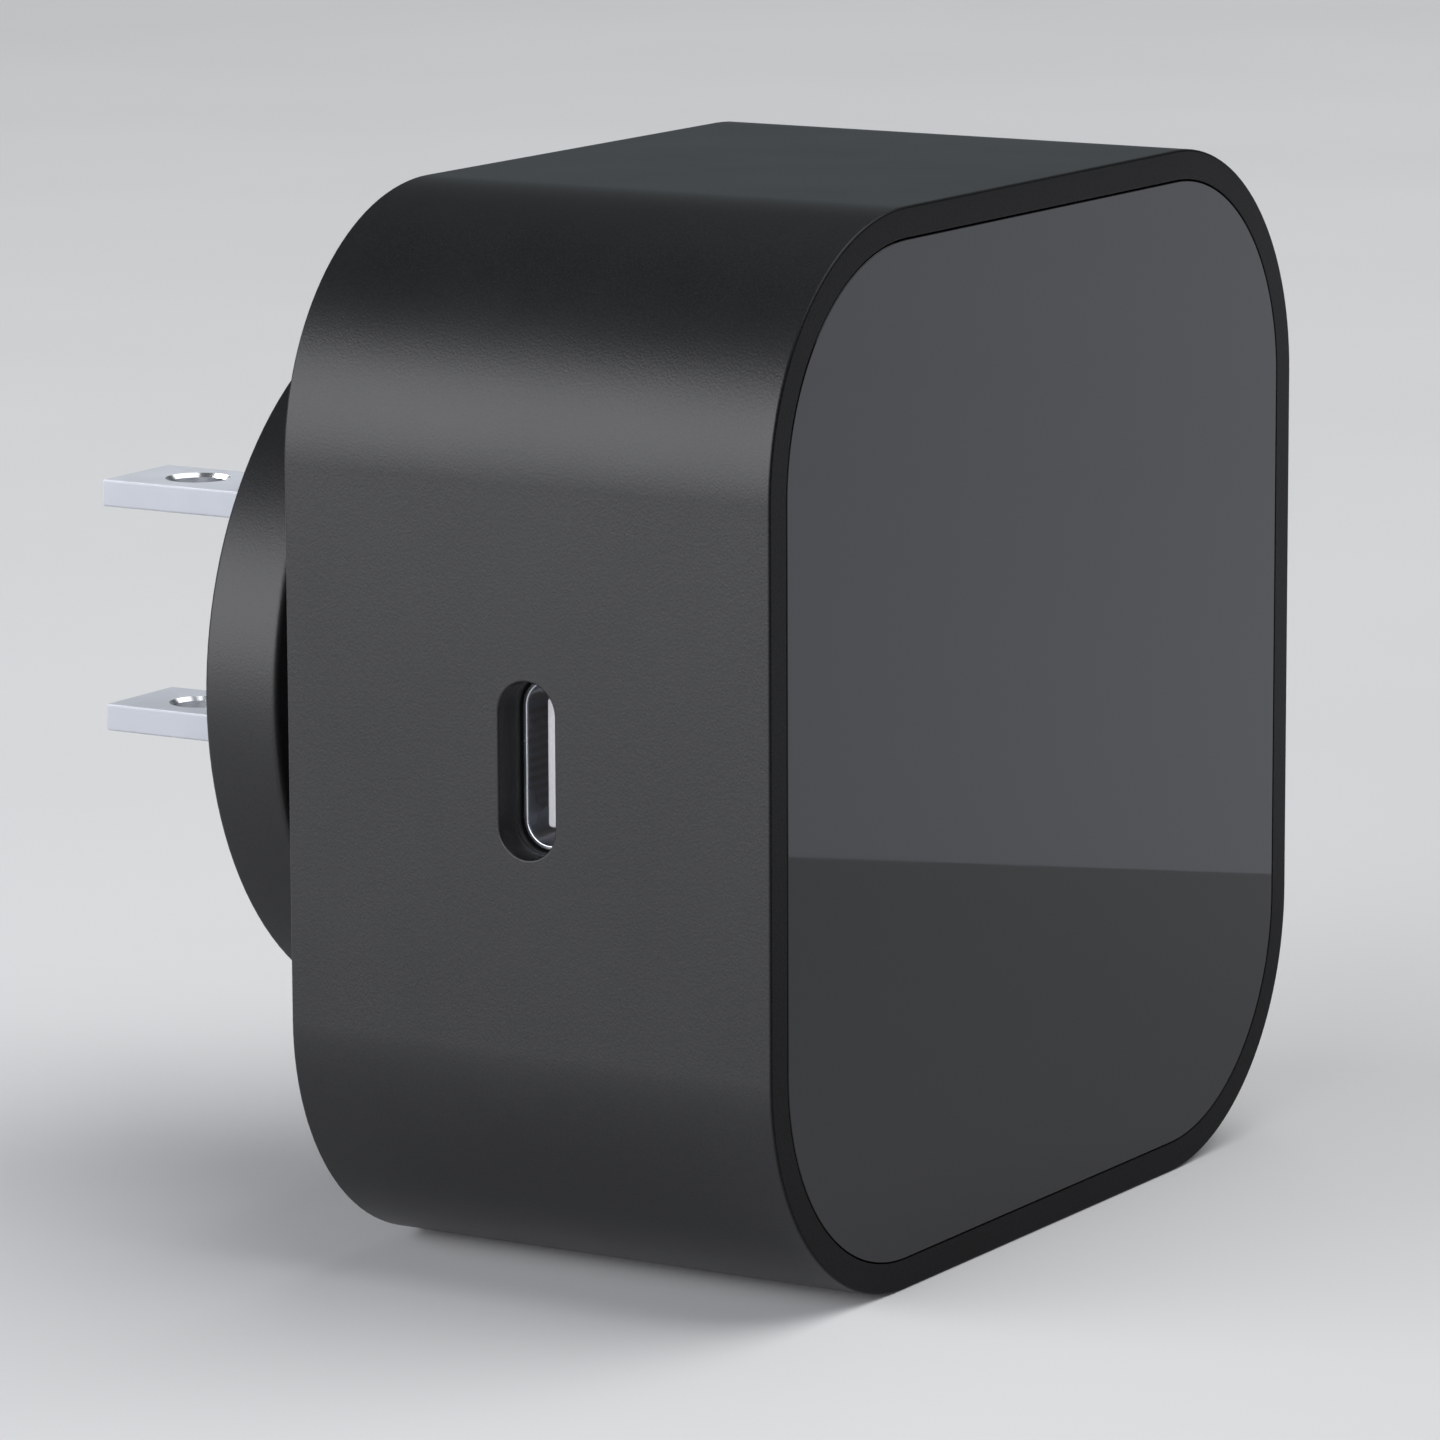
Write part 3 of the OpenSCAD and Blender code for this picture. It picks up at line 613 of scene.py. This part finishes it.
def build_rear_cover():
    """Rear cover with softened rim, a neck with a filleted foot, screw posts and countersinks."""
    rim = 0.16 * MM
    neck_rim = 0.3 * MM
    foot_steps = 8
    axis_r = 0.0005 * MM
    width = BODY_W - 2 * WALL_T
    radius = CORNER_R - WALL_T
    front_y = REAR_Y - COVER_T
    plate_profile = [(0.0, front_y)]
    plate_profile += [(across, REAR_Y - along) for across, along in reversed(quarter_round(rim))]
    plate = loft("rear_cover_detail", [
        in_depth(rounded_outline(width - 2 * inset, width - 2 * inset, radius - inset), y)
        for inset, y in plate_profile])
    neck_profile = [(axis_r, REAR_Y - MM), (NECK_R + NECK_FOOT, REAR_Y - MM)]
    for step in range(foot_steps + 1):
        angle = math.pi / 2 * step / foot_steps
        neck_profile.append((NECK_R + NECK_FOOT * (1 - math.sin(angle)),
                             REAR_Y + NECK_FOOT * (1 - math.cos(angle))))
    neck_profile += [(NECK_R - across, COVER_HIGH.y - along) for across, along in quarter_round(neck_rim)]
    neck_profile.append((axis_r, COVER_HIGH.y))
    neck = turned("neck", neck_profile)
    boss = turned("boss", [(BOSS_R, front_y - BOSS_H), (BOSS_R, REAR_Y - MM)])
    posts = [turned("post", [(POST_R, COVER_LOW.y), (POST_R, REAR_Y - MM)], spot, steps=48)
             for spot in post_places()]
    unite(plate, [neck, boss] + posts)
    bore = turned("bore", [(BEARING_R, COVER_LOW.y - MM), (BEARING_R, COVER_HIGH.y + MM)])
    middle = Vector((0, COVER_HIGH.y, -STOP_TRACK_R))
    window = box_piece("window", middle - DETENT_WINDOW / 2, middle + DETENT_WINDOW / 2)
    hole_r = SCREW_R + SCREW_GAP
    sink_r = SCREW_HEAD_R + SCREW_GAP
    lead = 0.1 * MM
    sink_profile = [(hole_r, COVER_LOW.y - MM), (hole_r, REAR_Y - SCREW_HEAD_T), (sink_r, REAR_Y - lead),
                    (sink_r + lead, REAR_Y), (sink_r + lead, REAR_Y + MM)]
    sinks = [turned("sink", sink_profile, spot, steps=64) for spot in post_places()]
    cut(plate, [bore, window, stop_track()] + sinks)
    place(plate, "housing", ["rear_cover"], MATERIALS["inner_plastic"])


def cross_recess(middle, top_y):
    """A tapered cross that cuts the driver's recess into a screw head."""
    reach = 1.15 * MM
    half_w = 0.22 * MM
    mouth_scale = 1.15
    tip_scale = 0.55
    levels = ((mouth_scale, top_y + 0.2 * MM), (tip_scale, top_y - 0.75 * MM))
    wings = []
    for half_u, half_v in ((reach, half_w), (half_w, reach)):
        corners = [(half_u, half_v), (-half_u, half_v), (-half_u, -half_v), (half_u, -half_v)]
        wings.append(loft("wing", [
            [Vector((middle[0] + u * scale, y, middle[1] + v * scale)) for u, v in corners]
            for scale, y in levels]))
    unite(wings[0], wings[1:])
    return wings[0]


def build_housing_screws():
    """Four countersunk screws with softened heads and cross recesses."""
    screws_low, screws_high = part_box("housing_screws")
    tip_y = screws_low.y
    head_y = screws_high.y
    edge = 0.08 * MM
    edge_bulge = 0.3 * edge
    profile = [(SCREW_R - 0.2 * MM, tip_y), (SCREW_R, tip_y + 0.3 * MM), (SCREW_R, REAR_Y - SCREW_HEAD_T),
               (SCREW_HEAD_R, head_y - edge), (SCREW_HEAD_R - edge_bulge, head_y - edge_bulge),
               (SCREW_HEAD_R - edge, head_y)]
    screws = []
    for spot in post_places():
        screw = turned("screw", profile, spot, steps=64)
        cut(screw, [cross_recess(spot, head_y)])
        screws.append(screw)
    joined = join("housing_screws_detail", screws)
    place(joined, "housing", ["housing_screws"], MATERIALS["steel_bright"])


def build_port_collar():
    """The dark collar behind the slot, with a softened mouth."""
    lip = 0.12 * MM
    wall = 1.2 * MM
    outer_w = SLOT_W + 2 * wall
    outer_l = SLOT_L + 2 * wall
    outside = rounded_outline(outer_w, outer_l, outer_w / 2, 16)
    rings = [in_side(outside, COLLAR_HIGH.x), in_side(outside, COLLAR_LOW.x)]
    for across, along in quarter_round(lip):
        grow = lip - across
        rings.append(in_side(rounded_outline(SLOT_W + 2 * grow, SLOT_L + 2 * grow, SLOT_W / 2 + grow, 16),
                             COLLAR_LOW.x + across))
    rings.append(in_side(rounded_outline(SLOT_W, SLOT_L, SLOT_W / 2, 16), COLLAR_HIGH.x))
    collar = loft("port_collar_detail", rings, closed=True)
    place(collar, "housing", ["port_collar"], MATERIALS["inner_plastic"])


def build_port_shell():
    """Drawn metal shell of the USB-C receptacle, with a rounded mouth and four board legs."""
    edge = 0.09 * MM
    leg_half_w = 0.55 * MM
    leg_edge = 0.04 * MM
    leg_low_y = PORT_Y - 0.5 * MM
    mouth_x = SHELL_LOW.x
    back_x = SHELL_HIGH.x
    profile = [(across, mouth_x + along) for across, along in quarter_round(edge)]
    profile += [(SHELL_T - across, mouth_x + along) for across, along in reversed(quarter_round(edge))]
    profile += [(SHELL_T, back_x), (0.0, back_x)]
    tube = loft("tube", [
        in_side(rounded_outline(SHELL_W - 2 * inset, SHELL_L - 2 * inset, SHELL_W / 2 - inset, 16), x)
        for inset, x in profile], closed=True)
    legs = []
    for x in (mouth_x + 2.2 * MM, mouth_x + 6.2 * MM):
        for side in (-1, 1):
            z = side * (SHELL_L / 2 - SHELL_T / 2)
            legs.append(box_piece("leg", (x - leg_half_w, leg_low_y, z - SHELL_T / 2),
                                  (x + leg_half_w, SHELL_HIGH.y, z + SHELL_T / 2), leg_edge))
    shell = join("port_shell_detail", [tube] + legs)
    place(shell, "housing", ["usb_c_shell"], MATERIALS["port_steel"])


def build_tongue():
    """The receptacle's tongue with a rounded tip, and the block that it grows from."""
    edge = 0.12 * MM
    tongue_w = 6.69 * MM
    tongue_t = 0.7 * MM
    tongue_corner_r = 0.2 * MM
    block_x = TONGUE_HIGH.x - 1.9 * MM
    block_w = SHELL_W - 2 * SHELL_T
    block_l = SHELL_L - 2 * SHELL_T
    profile = [(across, TONGUE_LOW.x + along) for across, along in reversed(quarter_round(edge))]
    profile.append((0.0, block_x))
    rings = []
    for inset, x in profile:
        corner_r = tongue_corner_r - inset / 2
        rings.append(in_side(rounded_outline(tongue_t - 2 * inset, tongue_w - 2 * inset, corner_r, 6), x))
    slab = loft("slab", rings)
    block = loft("block", [
        in_side(rounded_outline(block_w, block_l, block_w / 2, 16), x) for x in (block_x, TONGUE_HIGH.x)])
    tongue = join("tongue_detail", [slab, block])
    place(tongue, "housing", ["usb_c_tongue"], MATERIALS["tongue_plastic"])


# ---- Stage, lights and camera ----

CAMERA_AZIMUTH = math.radians(-58.80)
CAMERA_ELEVATION = math.radians(10.51)
CAMERA_ROLL = math.radians(-0.236)
CAMERA_DISTANCE = 406.5 * MM
CAMERA_LENS = 194.0
# How far the front face's middle lies from the middle of the picture, to the right and up.
FRONT_OFFSET_RIGHT = 16.98 * MM
FRONT_OFFSET_UP = 0.54 * MM


def build_camera():
    """The camera at the viewing angle, turned about the middle of the housing's front face."""
    back = Vector((math.sin(CAMERA_AZIMUTH) * math.cos(CAMERA_ELEVATION),
                   -math.cos(CAMERA_AZIMUTH) * math.cos(CAMERA_ELEVATION),
                   math.sin(CAMERA_ELEVATION)))
    right = (-back).cross(Vector((0, 0, 1))).normalized()
    up = back.cross(right)
    rolled_right = math.cos(CAMERA_ROLL) * right + math.sin(CAMERA_ROLL) * up
    rolled_up = math.cos(CAMERA_ROLL) * up - math.sin(CAMERA_ROLL) * right
    front_middle = Vector((0, FRONT_Y, 0))
    aim = front_middle - rolled_right * FRONT_OFFSET_RIGHT - rolled_up * FRONT_OFFSET_UP
    place_at = aim + back * CAMERA_DISTANCE
    camera = bpy.data.objects.new("camera", bpy.data.cameras.new("camera"))
    bpy.context.scene.collection.objects.link(camera)
    camera.data.lens = CAMERA_LENS
    camera.data.sensor_width = 36
    camera.data.clip_start = 0.01
    camera.data.clip_end = 20
    turn = Matrix((rolled_right, rolled_up, back)).transposed()
    camera.matrix_world = Matrix.Translation(place_at) @ turn.to_4x4()
    bpy.context.scene.camera = camera


def pale_floor():
    """Matt pale paper, very slightly cloudy."""
    material, tree, shader = new_material("pale_floor", Specular_IOR_Level=0.0, Roughness=1.0)
    cloud = noise(tree, 60 * MM, object_coordinates(tree), detail=2.0)
    colours = colour_between(tree, cloud, (0.74, 0.745, 0.75), (0.76, 0.765, 0.77))
    tree.links.new(colours, shader.inputs["Base Color"])
    return material


def build_floor():
    """A wide pale floor, and a sweep around it that only the camera sees."""
    size = 6.0
    flat_r = 2.0
    sweep_r = 0.9
    wall_h = 2.4
    floor_z = SLEEVE_LOW.z
    material = pale_floor()
    made = bmesh.new()
    bmesh.ops.create_grid(made, x_segments=1, y_segments=1, size=size / 2)
    floor = object_from(made, "floor")
    floor.location = (0, 0, floor_z)
    wall_r = flat_r + sweep_r
    sweep_z = floor_z + MM
    profile = [(wall_r - along, sweep_z + across) for across, along in quarter_round(sweep_r, 16)]
    profile.append((wall_r, floor_z + wall_h))
    backdrop = loft("backdrop", [
        [Vector((u, v, z)) for u, v in circle_outline(radius)] for radius, z in profile], caps=False)
    for face in backdrop.data.polygons:
        face.use_smooth = True
    backdrop.visible_diffuse = False
    backdrop.visible_glossy = False
    backdrop.visible_shadow = False
    for piece in (floor, backdrop):
        piece.data.materials.append(material)


def soft_light(name, direction, distance, size, radiance, aim=Vector((0, -25 * MM, 0)), colour=(1, 1, 1)):
    """A rectangular softbox that faces the aim, with its strength given as surface brightness."""
    data = bpy.data.lights.new(name, "AREA")
    data.shape = "RECTANGLE"
    data.size = size[0]
    data.size_y = size[1]
    data.energy = radiance * math.pi * size[0] * size[1]
    data.color = colour
    light = bpy.data.objects.new(name, data)
    bpy.context.scene.collection.objects.link(light)
    towards = Vector(direction).normalized()
    light.location = aim + towards * distance
    light.rotation_euler = towards.to_track_quat("Z", "Y").to_euler()
    light.visible_camera = False
    return light


def build_blade_light():
    """A small softbox above and behind the plug, flagged so that it lights only the blades."""
    lamp = soft_light("blade_light", (0.1, 0.75, 0.65), 0.5, (0.3, 0.3), 7.5,
                      aim=Vector((0, BLADE_HOLE_Y, 0)))
    blades = bpy.data.collections.new("lit_by_blade_light")
    for node in ("blade_upper", "blade_lower"):
        blades.objects.link(bpy.data.objects[node + "_detail"])
    lamp.light_linking.receiver_collection = blades


def build_reflection_card():
    """A card beside the front, seen only in gloss, whose lower edge draws the line across the panel."""
    near_edge = Vector((65.5, -94.4, -25)) * MM
    far_edge = Vector((76.2, -65.1, -25)) * MM
    along = (far_edge - near_edge).normalized()
    length = 110 * MM
    height = 50 * MM
    radiance = 0.42
    data = bpy.data.lights.new("panel_card", "AREA")
    data.shape = "RECTANGLE"
    data.size = length
    data.size_y = height
    data.energy = radiance * math.pi * length * height
    data.color = (0.95, 0.97, 1.05)
    card = bpy.data.objects.new("panel_card", data)
    bpy.context.scene.collection.objects.link(card)
    up = Vector((0, 0, 1))
    away = along.cross(up)
    side = up.cross(away)
    turn = Matrix((side, up, away)).transposed()
    middle = (near_edge + far_edge) / 2 + up * height / 2
    card.matrix_world = Matrix.Translation(middle) @ turn.to_4x4()
    card.visible_camera = False
    card.visible_diffuse = False


def build_lights():
    """Soft studio light from the left, from overhead and from behind, with a dim surround."""
    world = bpy.data.worlds.new("studio")
    bpy.context.scene.world = world
    world.use_nodes = True
    sky = world.node_tree.nodes["Background"]
    sky.inputs["Color"].default_value = (0.86, 0.93, 1.0, 1)
    sky.inputs["Strength"].default_value = 0.1
    soft_light("side_strip", (-0.82, 0.52, 0.27), 1.0, (1.12, 0.72), 3.9,
               colour=(0.985, 0.99, 1.03))
    soft_light("left_fill", (-1.0, -0.12, 0.22), 0.7, (0.3, 0.3), 4.0)
    soft_light("top_soft", (0.27, -0.38, 0.89), 1.9, (2.2, 2.2), 2.25)
    soft_light("back_soft", (0.82, 0.54, 0.16), 1.4, (1.4, 0.44), 0.21, colour=(0.86, 1.0, 1.04))
    build_reflection_card()


# ---- The scene ----

dress_cad_nodes()
build_camera()
build_floor()
build_lights()
build_sleeve()
build_panel()
build_disc()
build_blade("blade_upper")
build_blade("blade_lower")
build_port_collar()
build_port_shell()
build_tongue()
build_rear_cover()
build_housing_screws()
build_blade_light()

bpy.context.scene.view_settings.view_transform = "Standard"
